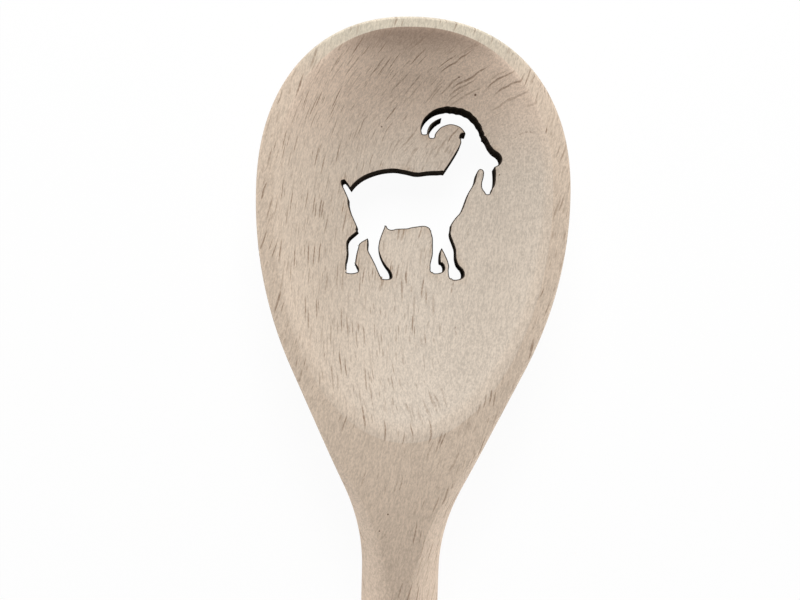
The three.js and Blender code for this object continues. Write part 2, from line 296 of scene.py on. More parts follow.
class GoatFigure(bpy.types.PropertyGroup):
    """Sizes of the goat that is cut through the bowl"""

    goat_height: length("Goat height", "From the hooves to the top of the horns", 34 * MM)
    hoof_distance: length("Hoof distance", "From the tip of the bowl to the line under the hooves", 50.5 * MM)
    goat_turn: bpy.props.FloatProperty(
        name="Goat turn", description="How far the goat leans to the left", default=math.radians(0.5),
        subtype="ANGLE", unit="ROTATION",
    )
    goat_offset: length("Goat offset", "How far the goat stands to the right of the bowl's middle", 0.1 * MM)
    burnt_edge: length("Burnt edge", "Width of the edge that the cutting burnt away", 0.2 * MM)
    ridge_count: bpy.props.IntProperty(
        name="Horn ridges", description="Ridges on the far horn", default=8, min=0
    )
    ridge_height: share("Ridge height", "Height of a ridge in units of the figure", 0.35)
    ridged_share: share("Ridged share", "How much of the far horn carries ridges", 0.55)


class BeechFinish(bpy.types.PropertyGroup):
    """Colours of the wood, its flecks and the burnt cut, some of them painted light and shade"""

    sanded_wood: colour("Sanded wood", "The rim and the back of the bowl", (0.6, 0.486, 0.383))
    # Painted shade: the handle is darker, as where the light falls off away from the tip
    grip_painted_shade: colour("Sanded grip", "The handle, which sanding has closed most", (0.543, 0.432, 0.338))
    sanded_tip: colour("Sanded tip", "The rim round the tip", (0.56, 0.496, 0.395))
    milled_wood: colour("Milled wood", "The hollow", (0.584, 0.505, 0.422))
    # Painted light: the hollow towards the tip is paler, standing in for light that reaches it
    tip_hollow_painted_light: colour("Milled tip", "The hollow towards the tip", (0.668, 0.528, 0.418))
    # Painted shade: the dark wall under the rim of the tip, which faces away from the key lamp; the wood
    # there is end grain
    tip_wall_painted_shade: colour("Milled end", "The end grain under the rim of the tip", (0.335, 0.245, 0.185))
    grain_contrast: share("Grain contrast", "How much darker the darkest fibres are", 0.34)
    fleck: colour("Fleck", "The short dark rays of beech", (0.25, 0.17, 0.115))
    speck: colour("Speck", "Pin knots and pits", (0.13, 0.08, 0.05))
    scorch: colour("Scorch", "Wood browned by the heat of the cutting", (0.36, 0.235, 0.14))
    char: colour("Char", "The burnt walls of the cut", (0.055, 0.046, 0.037))
    char_grain: colour("Char grain", "The grain that shows in the burnt walls", (0.11, 0.08, 0.062))
    fleck_length: length("Fleck length", "Length of the longer flecks", 5.8 * MM)
    fleck_spacing: length("Fleck spacing", "Between rows of flecks, across the grain", 0.5 * MM)
    scorch_reach: length("Scorch reach", "How far the browning spreads from the cut", 0.9 * MM)
    roughness: share("Roughness", "Roughness of the bare sanded wood", 0.72)


class StudioStage(bpy.types.PropertyGroup):
    """Light, floor and camera"""

    camera_height: length("Camera height", "Height of the camera over the rim", 228 * MM)
    camera_lens: bpy.props.FloatProperty(
        name="Lens", description="Focal length of the camera", default=54.05, unit="CAMERA"
    )
    key_power: power("Key light", "Power of the lamp beyond the tip", 3.5)
    left_power: power("Left light", "Power of the low lamp on the left of the neck", 0.62)
    right_power: power("Right light", "Power of the low lamp on the right of the neck", 0.82)
    fill: share("Fill", "Strength of the light from all round", 0.1)
    floor_colour: colour("Floor", "The pale floor", (0.9, 0.9, 0.9))
    floor_shadow: share("Floor shadow", "How much of the shadow the camera sees on the floor", 0.05)


class SpoonSettings(bpy.types.PropertyGroup):
    """Everything about the spoon that a user may change"""

    shape: bpy.props.PointerProperty(name="Shape", description="Sizes of the wood", type=SpoonShape)
    goat: bpy.props.PointerProperty(name="Goat", description="Sizes of the figure", type=GoatFigure)
    finish: bpy.props.PointerProperty(name="Finish", description="Colours of the wood", type=BeechFinish)
    stage: bpy.props.PointerProperty(name="Stage", description="Light, floor and camera", type=StudioStage)


def smoothstep(value, start, end):
    """3u² - 2u³ of the way u from start to end."""
    way = np.clip((value - start) / (end - start), 0, 1)
    return way * way * (3 - 2 * way)


def superellipse(way, fullness):
    """The fullness-th root of one minus the fullness-th power of the way."""
    return (1 - np.clip(way, 0, 1) ** fullness) ** (1 / fullness)


def arc_height(distance, radius):
    """The root of the radius squared minus the distance squared."""
    return np.sqrt(np.clip(radius**2 - distance**2, 0, None))


class SpoonForm:
    """The faces of the spoon as functions of the place, which is the distance from its tip."""

    def __init__(self, shape):
        self.shape = shape
        self.bowl_half = shape.bowl_width / 2
        self.neck_half = shape.neck_diameter / 2
        sine, cosine = math.sin(shape.flank_angle), math.cos(shape.flank_angle)
        self.slope = math.tan(shape.flank_angle)
        self.flank_start = shape.tip_length + shape.shoulder_radius * sine
        self.flank_start_half = self.bowl_half - shape.shoulder_radius * (1 - cosine)
        flank_end_half = self.neck_half + shape.neck_radius * (1 - cosine)
        self.flank_end = self.flank_start + (self.flank_start_half - flank_end_half) / self.slope
        self.handle_start = self.flank_end + shape.neck_radius * sine
        self.hollow_end = self.flank_end - shape.throat_length
        self.flat_end = self.handle_start + shape.flat_run_out
        self.grip_middle = shape.spoon_length - shape.grip_distance
        self.dome_start = shape.spoon_length - shape.dome_length
        self.handle_axis = shape.bowl_height - shape.handle_drop - self.neck_half
        self.edge_height = shape.bowl_height - shape.edge_radius

    def handle_half(self, place):
        """A smooth swell from the neck to the grip, a smooth taper to the end, then a quarter ellipse."""
        neck, grip, end = self.neck_half, self.shape.grip_diameter / 2, self.shape.end_diameter / 2
        swell = neck + (grip - neck) * smoothstep(place, self.flat_end, self.grip_middle)
        taper = grip + (end - grip) * smoothstep(place, self.grip_middle, self.dome_start)
        dome = end * superellipse((place - self.dome_start) / self.shape.dome_length, 2)
        return np.select([place < self.grip_middle, place < self.dome_start], [swell, taper], dome)

    def outline_half(self, place):
        """Half width: superellipse tip, shoulder arc, straight flank, hollow neck arc, handle."""
        shape = self.shape
        tip = self.bowl_half * superellipse(1 - place / shape.tip_length, shape.tip_fullness)
        shoulder = self.bowl_half - shape.shoulder_radius
        shoulder = shoulder + arc_height(place - shape.tip_length, shape.shoulder_radius)
        flank = self.flank_start_half - (place - self.flank_start) * self.slope
        neck = self.neck_half + shape.neck_radius - arc_height(self.handle_start - place, shape.neck_radius)
        ends = [shape.tip_length, self.flank_start, self.flank_end, self.handle_start]
        return np.select([place < end for end in ends], [tip, shoulder, flank, neck], self.handle_half(place))

    def flat_half(self, place):
        """Half width of the flat top: the outline set in by the edge radius. Along the neck it narrows to a
        point, by a power of the way there."""
        shape = self.shape
        way = (shape.tip_length - place) / (shape.tip_length - shape.edge_radius)
        tip = (self.bowl_half - shape.edge_radius) * superellipse(way, shape.tip_fullness)
        inset = np.where(place < shape.tip_length, tip, self.outline_half(place) - shape.edge_radius)
        start = self.hollow_end - FLAT_LEAD
        return inset * (1 - np.clip((place - start) / (self.flat_end - start), 0, 1) ** FLAT_POWER)

    def top_height(self, place):
        """A quarter round at the tip, the level rim, a slight drop at the neck, the top of the handle."""
        shape = self.shape
        tip = self.edge_height + arc_height(shape.edge_radius - place, shape.edge_radius)
        rim = shape.bowl_height - shape.handle_drop * smoothstep(place, self.flank_end, self.flat_end)
        handle = self.handle_axis + self.handle_half(place)
        return np.select([place < shape.edge_radius, place < self.flat_end], [tip, rim], handle)

    def side_height(self, place):
        """Where a section is widest: under the rim on the bowl, on the axis along the handle."""
        drop = smoothstep(place, self.hollow_end, self.flat_end)
        return self.edge_height + (self.handle_axis - self.edge_height) * drop

    def back_height(self, place):
        """A quarter ellipse from the tip to the ground, a smooth rise to the neck, the handle's underside."""
        tip = self.edge_height * (1 - superellipse(1 - place / self.shape.tip_length, 2))
        rise = smoothstep(place, self.shape.tip_length, self.flat_end) * (self.handle_axis - self.neck_half)
        handle = self.handle_axis - self.handle_half(place)
        return np.select([place < self.shape.tip_length, place < self.flat_end], [tip, rise], handle)

    def middle_line(self, place):
        """The sway times one minus the square of the half width's share of the bowl's."""
        return -self.shape.sway * (1 - (self.outline_half(place) / self.bowl_half) ** 2)

    def bowl_back(self, x, y):
        """Height of the bowl's back over a point: its section is half an ellipse."""
        place = self.shape.spoon_length / 2 - y
        side = self.side_height(place)
        across = (x - self.middle_line(place)) / self.outline_half(place)
        return side - (side - self.back_height(place)) * superellipse(np.abs(across), 2)

    def dish_lengths(self, towards_tip):
        """Length and fullness of the hollow's outline, towards the tip or towards the neck."""
        shape = self.shape
        reach = np.where(towards_tip, shape.tip_length - shape.tip_rim, self.hollow_end - shape.tip_length)
        return reach, np.where(towards_tip, shape.tip_fullness, 2)

    def dish_height(self, reach, ease):
        """The hollow's depth falls off with the square of the reach, which is 1 at its edge. There the dish
        is eased into the rim: the smooth least of its height and of a plane that rises gently outwards."""
        shape = self.shape
        dish = -shape.hollow_depth * (1 - reach**2)
        rise = EASE_SLOPE * (self.bowl_half - shape.side_rim) * (reach - 1)
        softened = np.clip(ease - np.abs(dish - rise), 0, None) ** 2 / (4 * ease)
        return shape.bowl_height + np.minimum(dish, rise) - softened

    def bowl_hollow(self, x, y):
        """Height of the hollow over a point."""
        along = y - self.shape.spoon_length / 2 + self.shape.tip_length
        reach, fullness = self.dish_lengths(along > 0)
        middle = self.middle_line(self.shape.tip_length - along)
        across = (x - middle) / (self.bowl_half - self.shape.side_rim)
        square = (np.abs(across) ** fullness + np.abs(along / reach) ** fullness) ** (2 / fullness)
        return self.shape.bowl_height - self.shape.hollow_depth * (1 - square)


def new_piece(name, points, faces, material):
    """An object at the origin, with points that coincide merged, so that seams and poles are closed."""
    mesh = bpy.data.meshes.new(name)
    mesh.from_pydata(points, [], faces)
    work = bmesh.new()
    work.from_mesh(mesh)
    bmesh.ops.remove_doubles(work, verts=work.verts, dist=MERGE_DISTANCE)
    bmesh.ops.dissolve_degenerate(work, edges=work.edges, dist=LEAST_LENGTH)
    work.to_mesh(mesh)
    work.free()
    mesh.materials.append(material)
    piece = bpy.data.objects.new(name, mesh)
    bpy.context.scene.collection.objects.link(piece)
    return piece


def ring_quads(rings, points):
    """The quads between rings that follow each other, each ring closed in itself."""
    corner = np.arange((rings - 1) * points).reshape(rings - 1, points)
    beside = np.roll(corner, -1, axis=1)
    return np.stack([corner, beside, beside + points, corner + points], -1).reshape(-1, 4)


def blank_piece(form, material):
    """The uncut blank: sections of a flat top, its edges and a half-elliptical back, set along the middle
    line at places that lie close together at the tip and at the domed end. The edges are quarter ellipses
    along the bowl. From the shoulders to the neck they turn into an ellipse that the flat cuts off."""
    shape = form.shape
    tip = shape.tip_length * (1 - np.cos(np.linspace(0, math.pi / 2, TIP_SECTIONS, endpoint=False)))
    head = np.arange(shape.tip_length, form.flat_end, HEAD_SPACING)
    handle = np.arange(form.flat_end, form.dome_start, HANDLE_SPACING)
    dome = form.dome_start + shape.dome_length * np.sin(np.linspace(0, math.pi / 2, DOME_SECTIONS))
    place = np.concatenate([tip, head, handle, dome])[:, None]
    half, flat = form.outline_half(place), form.flat_half(place)
    top, side, back = form.top_height(place), form.side_height(place), form.back_height(place)
    edge_turn = np.linspace(0, math.pi / 2, EDGE_STEPS + 1)
    crease = smoothstep(place, form.flank_start, form.hollow_end)
    crease_turn = np.arcsin(np.clip(flat / np.maximum(half, LEAST_LENGTH), 0, 1))
    cut_turn = crease_turn + edge_turn * (1 - crease_turn / (math.pi / 2))
    edge_x = (flat + (half - flat) * np.sin(edge_turn)) * (1 - crease) + half * np.sin(cut_turn) * crease
    edge_rise = np.cos(edge_turn) * (1 - crease) + np.cos(cut_turn) / np.cos(crease_turn) * crease
    edge_z = side + (top - side) * edge_rise
    back_turn = np.linspace(0, math.pi, BACK_STEPS + 1)[1:-1]
    back_x = -half * np.cos(back_turn)
    back_z = side - (side - back) * np.sin(back_turn)
    x = form.middle_line(place) + np.concatenate([-edge_x, back_x, edge_x[:, ::-1]], axis=1)
    z = np.concatenate([edge_z, back_z, edge_z[:, ::-1]], axis=1)
    y = np.broadcast_to(shape.spoon_length / 2 - place, x.shape)
    points = np.stack([x, y, z], -1)
    return new_piece("beech_spoon", points.reshape(-1, 3), ring_quads(*x.shape), material)


def hollow_cutter(form, material):
    """The dish that is milled out: rings of superellipses around its deepest place, closed by a flat lid.
    Where easing has widened the edge, the outer rings are drawn in, so that the hollow keeps its outline."""
    shape = form.shape
    turn = np.linspace(0, 2 * math.pi, HOLLOW_SPOKES, endpoint=False)
    towards_tip = np.sin(turn) > 0
    lengths, fullness = form.dish_lengths(towards_tip)
    ray_x = (form.bowl_half - shape.side_rim) * np.sign(np.cos(turn)) * np.abs(np.cos(turn)) ** (2 / fullness)
    ray_y = lengths * np.sign(np.sin(turn)) * np.abs(np.sin(turn)) ** (2 / fullness)
    inner = np.linspace(0, EASED_REACH[0], DISH_RINGS, endpoint=False)
    reach = np.concatenate([inner, np.linspace(*EASED_REACH, EASE_RINGS)])[:, None]
    ease = shape.tip_ease + (shape.neck_ease - shape.tip_ease) * smoothstep(-np.sin(turn), *NECKWARD)
    height = form.dish_height(reach, ease)
    lid = np.full((2, HOLLOW_SPOKES), shape.bowl_height + shape.hollow_depth)
    z = np.concatenate([height, lid])
    drawn = reach - DRAWN_IN * ease * smoothstep(reach, *DRAWN_REACH)
    reach = np.concatenate([drawn, drawn[-1:], 0 * drawn[-1:]])
    along = reach * ray_y
    x = form.middle_line(np.clip(shape.tip_length - along, 0, None)) + reach * ray_x
    y = shape.spoon_length / 2 - shape.tip_length + along
    points = np.stack([x, y, z], -1)
    return new_piece("hollow_cutter", points.reshape(-1, 3), ring_quads(*x.shape), material)


def smooth_curve(points, closed):
    """A cubic through each point, which it passes along the line between the neighbours of that point."""
    nodes = np.asarray(points, float)
    if closed:
        nodes = np.concatenate([nodes[-1:], nodes, nodes[:2]])
    else:
        nodes = np.concatenate([2 * nodes[:1] - nodes[1:2], nodes, 2 * nodes[-1:] - nodes[-2:-1]])
    spans = len(nodes) - 3
    way = np.arange(spans * CURVE_STEPS + (0 if closed else 1)) / CURVE_STEPS
    span = np.minimum(way.astype(int), spans - 1)
    u = (way - span)[:, None]
    a, b, c, d = (nodes[span + step] for step in range(4))
    return 0.5 * (2 * b + (c - a) * u + (2 * a - 5 * b + 4 * c - d) * u**2 + (3 * b - a - 3 * c + d) * u**3)


def limb_outline(points, ridge=lambda way: 0 * way):
    """The half width to both sides of a smooth line, square where it starts inside the trunk and rounded at
    its end by half an ellipse. A ridge adds to the right side by the share of the way along."""
    line = smooth_curve(points, False)
    middle, half = line[:, :2], line[:, 2:]
    along = np.gradient(middle, axis=0)
    along /= np.linalg.norm(along, axis=1, keepdims=True)
    aside = np.stack([-along[:, 1], along[:, 0]], 1)
    turn = np.linspace(0, math.pi, END_STEPS + 1)[1:-1, None]
    end = middle[-1] + half[-1] * (END_BULGE * np.sin(turn) * along[-1] + np.cos(turn) * aside[-1])
    right = middle - aside * (half + ridge(np.linspace(0, 1, len(line)))[:, None])
    return np.concatenate([middle + aside * half, end, right[::-1]])


def leaning(points, lean):
    """The points of a limb, moved to the right by the lean times the square of the way along the limb."""
    way = np.linspace(0, 1, len(points))[:, None]
    return np.asarray(points, float) + way**2 * np.array([lean, 0, 0])


def goat_outlines(shape, goat):
    """The overlapping outlines of the figure on the spoon, each counter-clockwise and as a pair of the upper
    and the lower edge of the cut. The ridges of the far horn are arches, the size of a sine, along the part
    next to the head."""
    def ridge(way):
        ridged = np.minimum(way / goat.ridged_share, 1)
        return goat.ridge_height * np.abs(np.sin(math.pi * goat.ridge_count * ridged))

    straight = [smooth_curve(TRUNK, True), smooth_curve(HEAD, True), limb_outline(RIDGED_HORN, ridge)]
    outlines = [(outline, outline) for outline in straight]
    for name, points in LIMBS.items():
        outlines.append((limb_outline(points), limb_outline(leaning(points, LEAN.get(name, 0)))))
    sine, cosine = math.sin(goat.goat_turn), math.cos(goat.goat_turn)
    to_size = np.array([[cosine, sine], [-sine, cosine]]) * goat.goat_height / FIGURE_UNITS
    hooves = np.array([goat.goat_offset, shape.spoon_length / 2 - goat.hoof_distance])
    placed = []
    for pair in outlines:
        pair = np.array(pair) @ to_size + hooves
        x, y = pair[0].T
        doubled_area = np.sum(x * np.roll(y, -1) - y * np.roll(x, -1))
        placed.append(pair if doubled_area > 0 else pair[:, ::-1])
    return placed


def grown(outline, distance):
    """The outline moved outwards, square to the line between the neighbours of each point."""
    along = np.roll(outline, -1, axis=0) - np.roll(outline, 1, axis=0)
    outwards = np.stack([along[:, 1], -along[:, 0]], 1)
    return outline + distance * outwards / np.linalg.norm(outwards, axis=1, keepdims=True)


def goat_cutter(form, upper, lower, burnt_edge, material):
    """A prism through the bowl that flares at 45 degrees where it leaves the back and the hollow."""
    flare = burnt_edge + CUT_CLEARANCE
    upper_wide, lower_wide = grown(upper, flare), grown(lower, flare)
    count = len(upper)
    rings = [
        (lower_wide, np.full(count, -THROUGH_MARGIN)),
        (lower_wide, form.bowl_back(*lower_wide.T) - CUT_CLEARANCE),
        (lower, form.bowl_back(*lower.T) + burnt_edge),
        (upper, form.bowl_hollow(*upper.T) - burnt_edge),
        (upper_wide, form.bowl_hollow(*upper_wide.T) + CUT_CLEARANCE),
        (upper_wide, np.full(count, form.shape.bowl_height + THROUGH_MARGIN)),
    ]
    points = np.concatenate([np.column_stack([ring, height]) for ring, height in rings])
    lids = [list(range(count - 1, -1, -1)), list(range(len(points) - count, len(points)))]
    return new_piece("goat_cutter", points, ring_quads(len(rings), count).tolist() + lids, material)


def apply_modifiers(piece):
    """Gives the piece the mesh that its modifiers make of it."""
    graph = bpy.context.evaluated_depsgraph_get()
    evaluated = piece.evaluated_get(graph)
    finished = bpy.data.meshes.new_from_object(evaluated, preserve_all_data_layers=True, depsgraph=graph)
    piece.modifiers.clear()
    bare = piece.data
    piece.data = finished
    bpy.data.meshes.remove(bare)


def cut(piece, cutter):
    """Takes the cutter away from the piece. The new walls get the cutter's material."""
    boolean = piece.modifiers.new("Cut", "BOOLEAN")
    boolean.operation = "DIFFERENCE"
    boolean.solver = "MANIFOLD"
    boolean.material_mode = "TRANSFER"
    boolean.object = cutter
    before = len(piece.data.polygons)
    apply_modifiers(piece)
    bpy.data.meshes.remove(cutter.data)
    if len(piece.data.polygons) in (0, before):
        raise RuntimeError("a cutter took nothing, or everything, from the blank")


def point_vectors(piece, name):
    """The vectors of that name at the piece's points, as rows."""
    vectors = np.empty(len(piece.data.vertices) * 3)
    piece.data.vertices.foreach_get(name, vectors)
    return vectors.reshape(-1, 3)


def mark_points(piece, name, values):
    piece.data.attributes.new(name, "FLOAT", "POINT").data.foreach_set("value", values)


def mark_flecks(piece):
    """A value per point that thins the flecks where the surface lies along the rays and would show them as
    broad patches: a smooth step of the sine of the angle between the normal and the rays' thin direction.
    The bowl shows them at smaller angles than the neck."""
    cosine = point_vectors(piece, "normal") @ np.array(TANGENT)
    sine = np.sqrt(np.clip(1 - cosine**2, 0, None))
    along = point_vectors(piece, "co")[:, 1]
    start = FLECK_START - BOWL_ALLOWANCE * smoothstep(along, *BOWL_PLACES)
    mark_points(piece, "fleck_shown", smoothstep(sine - start, 0, FLECK_SPAN))


def mark_scorch(piece, outlines, reach):
    """A value per point that falls off from the edge of the figure as the exponential of minus the distance
    over the reach."""
    points = point_vectors(piece, "co")[:, :2]
    edge = np.concatenate(outlines)
    low, high = edge.min(0) - SCORCH_FADE * reach, edge.max(0) + SCORCH_FADE * reach
    near = np.flatnonzero(np.all((points > low) & (points < high), axis=1))
    nearest = np.min(np.linalg.norm(points[near, None] - edge[None], axis=2), axis=1)
    scorch = np.zeros(len(points))
    scorch[near] = np.exp(-nearest / reach)
    mark_points(piece, "scorch", scorch)


def new_node(tree, kind, inputs=None, **settings):
    """Adds a node. Inputs are given by name or number, as values or as sockets to link."""
    node = tree.nodes.new(kind)
    for name, value in settings.items():
        setattr(node, name, value)
    for key, value in (inputs or {}).items():
        if isinstance(value, bpy.types.NodeSocket):
            tree.links.new(value, node.inputs[key])
        else:
            node.inputs[key].default_value = value
    return node


def maths(tree, operation, *values):
    return new_node(tree, "ShaderNodeMath", dict(enumerate(values)), operation=operation).outputs[0]


def vector_maths(tree, operation, *values):
    return new_node(tree, "ShaderNodeVectorMath", dict(enumerate(values)), operation=operation).outputs[0]


def weighted_sum(tree, terms):
    """The sum of values, each times its weight."""
    total = 0.0
    for value, weight in terms:
        total = maths(tree, "MULTIPLY_ADD", value, weight, total)
    return total


def ramp(tree, value, start, end, low=0.0, high=1.0):
    """Takes start to end smoothly to low to high."""
    sockets = {"Value": value, "From Min": start, "From Max": end, "To Min": low, "To Max": high}
    return new_node(tree, "ShaderNodeMapRange", sockets, interpolation_type="SMOOTHSTEP").outputs["Result"]


def mixed(tree, factor, a, b):
    """Colour a, mixed with colour b by the factor."""
    node = new_node(tree, "ShaderNodeMix", {0: factor}, data_type="RGBA")
    for socket, value in ((node.inputs[6], a), (node.inputs[7], b)):
        if isinstance(value, bpy.types.NodeSocket):
            tree.links.new(value, socket)
        else:
            socket.default_value = (*value, 1)
    return node.outputs[2]


def noise(tree, vector, size, detail=2.0, roughness=0.5):
    """Noise whose lumps have the given size along each axis of the vector, in the vector's own unit."""
    stretched = vector_maths(tree, "DIVIDE", vector, size)
    sockets = {"Vector": stretched, "Scale": 1.0, "Detail": detail, "Roughness": roughness}
    return new_node(tree, "ShaderNodeTexNoise", sockets, noise_dimensions="3D").outputs["Fac"]


def fleck_layer(tree, across, longest, spacing, thickness):
    """Short dark lenses: a stretched cell pattern seen along the rays, dark near the middle of each cell.
    A cell's own random colour says how thick and how dark its fleck is. Lengths are in millimetres."""
    cell = (spacing, longest / (2 * thickness), 1)
    sockets = {"Vector": vector_maths(tree, "DIVIDE", across, cell), "Scale": 1.0, "Randomness": 1.0}
    cells = new_node(tree, "ShaderNodeTexVoronoi", sockets, voronoi_dimensions="2D", feature="F1")
    chance = new_node(tree, "ShaderNodeSeparateColor", {0: cells.outputs["Color"]})
    width = ramp(tree, chance.outputs[0], 0.0, 1.0, THINNEST * thickness, thickness)
    closeness = maths(tree, "DIVIDE", cells.outputs["Distance"], width)
    lens = ramp(tree, closeness, FLECK_CORE, 1.0, 1.0, 0.0)
    return maths(tree, "MULTIPLY", lens, ramp(tree, chance.outputs[1], 0.0, 1.0, PALEST, 1.0))


def beech_grain_group(finish):
    """The grain of beech as a solid pattern: coordinates are turned into the log's own tangential, grain and
    radial directions, in millimetres, so every face of the spoon cuts the same wood."""
    group = bpy.data.node_groups.new("Beech grain", "ShaderNodeTree")
    group.interface.new_socket("Vector", in_out="INPUT", socket_type="NodeSocketVector")
    for name in ("Fleck", "Fibre", "Tone", "Pore"):
        group.interface.new_socket(name, in_out="OUTPUT", socket_type="NodeSocketFloat")
    entry = group.nodes.new("NodeGroupInput")
    leave = group.nodes.new("NodeGroupOutput")
    turn = Matrix((TANGENT, GRAIN, RADIAL)).to_euler()
    log = new_node(
        group, "ShaderNodeMapping",
        {"Vector": entry.outputs["Vector"], "Rotation": turn, "Scale": (1 / MM, 1 / MM, 1 / MM)},
    ).outputs[0]
    waver = maths(group, "SUBTRACT", noise(group, log, WAVER_LUMPS, detail=3.0), 0.5)
    aside = maths(group, "MULTIPLY", waver, WAVER_REACH)
    wavy = vector_maths(group, "ADD", log, new_node(group, "ShaderNodeCombineXYZ", {"X": aside}).outputs[0])
    length_mm, spacing_mm = finish.fleck_length / MM, finish.fleck_spacing / MM
    long_flecks = fleck_layer(group, wavy, length_mm, spacing_mm, LONG_THICKNESS)
    short_flecks = fleck_layer(
        group, wavy, SHORT_LENGTH * length_mm, SHORT_SPACING * spacing_mm, SHORT_THICKNESS
    )
    flecks = maths(group, "MAXIMUM", long_flecks, maths(group, "MULTIPLY", short_flecks, SHORT_DARKNESS))
    broken = ramp(group, noise(group, wavy, BREAK_LUMPS), *BROKEN)
    patterns = {
        "Fleck": maths(group, "MULTIPLY", flecks, broken),
        "Fibre": noise(group, wavy, FIBRE_LUMPS, detail=3.0, roughness=0.6),
        "Tone": noise(group, log, TONE_LUMPS),
        "Pore": noise(group, wavy, PORE_LUMPS, roughness=0.6),
    }
    for name, value in patterns.items():
        group.links.new(value, leave.inputs[name])
    return group


def speck_mask(tree, coordinates):
    """Dark round dots: one minus a smooth step of the distance from each place, seen from above."""
    flat = vector_maths(tree, "MULTIPLY", coordinates, (1, 1, 0))
    mask = None
    for x, y, radius in SPECKS:
        place = new_node(tree, "ShaderNodeVectorMath", {0: flat, 1: (x, y, 0)}, operation="DISTANCE")
        dot = ramp(tree, place.outputs["Value"], SPECK_CORE * radius, radius, 1.0, 0.0)
        mask = dot if mask is None else maths(tree, "MAXIMUM", mask, dot)
    return mask


def bare_tree(owner, output):
    """The node tree of a material or a world with only its output in it, and the output's socket."""
    owner.use_nodes = True
    tree = owner.node_tree
    tree.nodes.clear()
    return tree, tree.nodes.new(output).inputs["Surface"]


def new_material(name):
    """A material with a plain surface: the material, its node tree and the surface's inputs."""
    material = bpy.data.materials.new(name)
    tree, output = bare_tree(material, "ShaderNodeOutputMaterial")
    surface = tree.nodes.new("ShaderNodeBsdfPrincipled")
    tree.links.new(surface.outputs[0], output)
    return material, tree, surface.inputs


def point_value(tree, name):
    return new_node(tree, "ShaderNodeAttribute", attribute_name=name).outputs["Fac"]


def add_relief(tree, surface, height, strength, distance):
    bump = new_node(tree, "ShaderNodeBump", {"Height": height, "Strength": strength, "Distance": distance})
    tree.links.new(bump.outputs[0], surface["Normal"])


def grain_of(tree, group):
    """The grain group on the spoon's own coordinates."""
    coordinates = tree.nodes.new("ShaderNodeTexCoord").outputs["Object"]
    grain = new_node(tree, "ShaderNodeGroup", node_tree=group)
    tree.links.new(coordinates, grain.inputs["Vector"])
    return coordinates, grain.outputs


def milled_tone(tree, coordinates, finish):
    """The hollow's wood: warmer on the left and at its lip; towards the tip painted light, then painted shade
    under its rim.
    """
    place = new_node(tree, "ShaderNodeSeparateXYZ", {0: coordinates}).outputs
    rim = SPOON_HIGH.z
    left_side = ramp(tree, place["X"], *LEFT_SIDE, LEFT_WARMTH, 0.0)
    wood = mixed(tree, left_side, finish.milled_wood, finish.sanded_wood)
    lip = ramp(tree, place["Z"], rim - LIP_DEPTH, rim, 0.0, LIP_WARMTH)
    wood = mixed(tree, lip, wood, finish.sanded_wood)
    # Painted light: a paler tone in the hollow towards the tip
    wood = mixed(tree, ramp(tree, place["Y"], *TIP_HOLLOW_LIGHT_PLACES), wood, finish.tip_hollow_painted_light)
    # Painted shade on the steep wall under the tip's rim
    return mixed(tree, ramp(tree, place["Y"], *TIP_WALL_SHADE_PLACES), wood, finish.tip_wall_painted_shade)


def sanded_tone(tree, coordinates, finish):
    """The wood of the outside: the grip's darker tone, which is painted shade, then the bowl's, then the
    tip's.
    """
    along = new_node(tree, "ShaderNodeSeparateXYZ", {0: coordinates}).outputs["Y"]
    # Painted shade on the grip, fading out towards the bowl
    wood = mixed(tree, ramp(tree, along, *GRIP_SHADE_PLACES), finish.grip_painted_shade, finish.sanded_wood)
    return mixed(tree, ramp(tree, along, *SANDED_TIP), wood, finish.sanded_tip)


def beech_material(name, finish, group, milled):
    """Bare beech: pale wood with darker fibres, brown flecks, specks and browning round the cut. A fleck is
    thinner and paler where its point value is low: what it lacks of full darkness is divided by that value.
    The milled finish adds the fine ripples that the cutter left across the hollow."""
    material, tree, surface = new_material(name)
    coordinates, grain = grain_of(tree, group)
    wood = (milled_tone if milled else sanded_tone)(tree, coordinates, finish)
    depth = weighted_sum(tree, [(grain[pattern], weight) for pattern, weight in SHADE.items()])
    half_contrast = finish.grain_contrast / 2
    shade = ramp(tree, depth, *SHADE_RANGE, 1 + half_contrast, 1 - half_contrast)
    wood = vector_maths(tree, "MULTIPLY", wood, shade)
    shown = maths(tree, "MAXIMUM", point_value(tree, "fleck_shown"), LEAST_SHOWN)
    thinned = maths(tree, "DIVIDE", maths(tree, "SUBTRACT", grain["Fleck"], 1), shown)
    flecks = maths(tree, "MAXIMUM", maths(tree, "ADD", thinned, 1), 0)
    hidden_darkness, more_darkness = FLECK_DARKNESS
    darkness = maths(tree, "MULTIPLY_ADD", shown, more_darkness, hidden_darkness)
    wood = mixed(tree, maths(tree, "MULTIPLY", flecks, darkness), wood, finish.fleck)
    wood = mixed(tree, speck_mask(tree, coordinates), wood, finish.speck)
    uneven = ramp(tree, noise(tree, coordinates, SCORCH_LUMPS), *SCORCH_PATCHES)
    browning = maths(tree, "MULTIPLY", point_value(tree, "scorch"), uneven)
    tree.links.new(mixed(tree, browning, wood, finish.scorch), surface["Base Color"])
    smoothest = finish.roughness - ROUGHNESS_SPAN / 2
    rough = maths(tree, "MULTIPLY_ADD", grain["Fibre"], ROUGHNESS_SPAN, smoothest)
    tree.links.new(rough, surface["Roughness"])
    heights = [(grain[pattern], weight) for pattern, weight in RELIEF.items()]
    heights.append((flecks, FLECK_RELIEF))
    if milled:
        heights.append((noise(tree, coordinates, CUTTER_MARKS), MARK_RELIEF))
    add_relief(tree, surface, weighted_sum(tree, heights), *WOOD_BUMP)
    surface["Specular IOR Level"].default_value = WOOD_SHINE
    return material


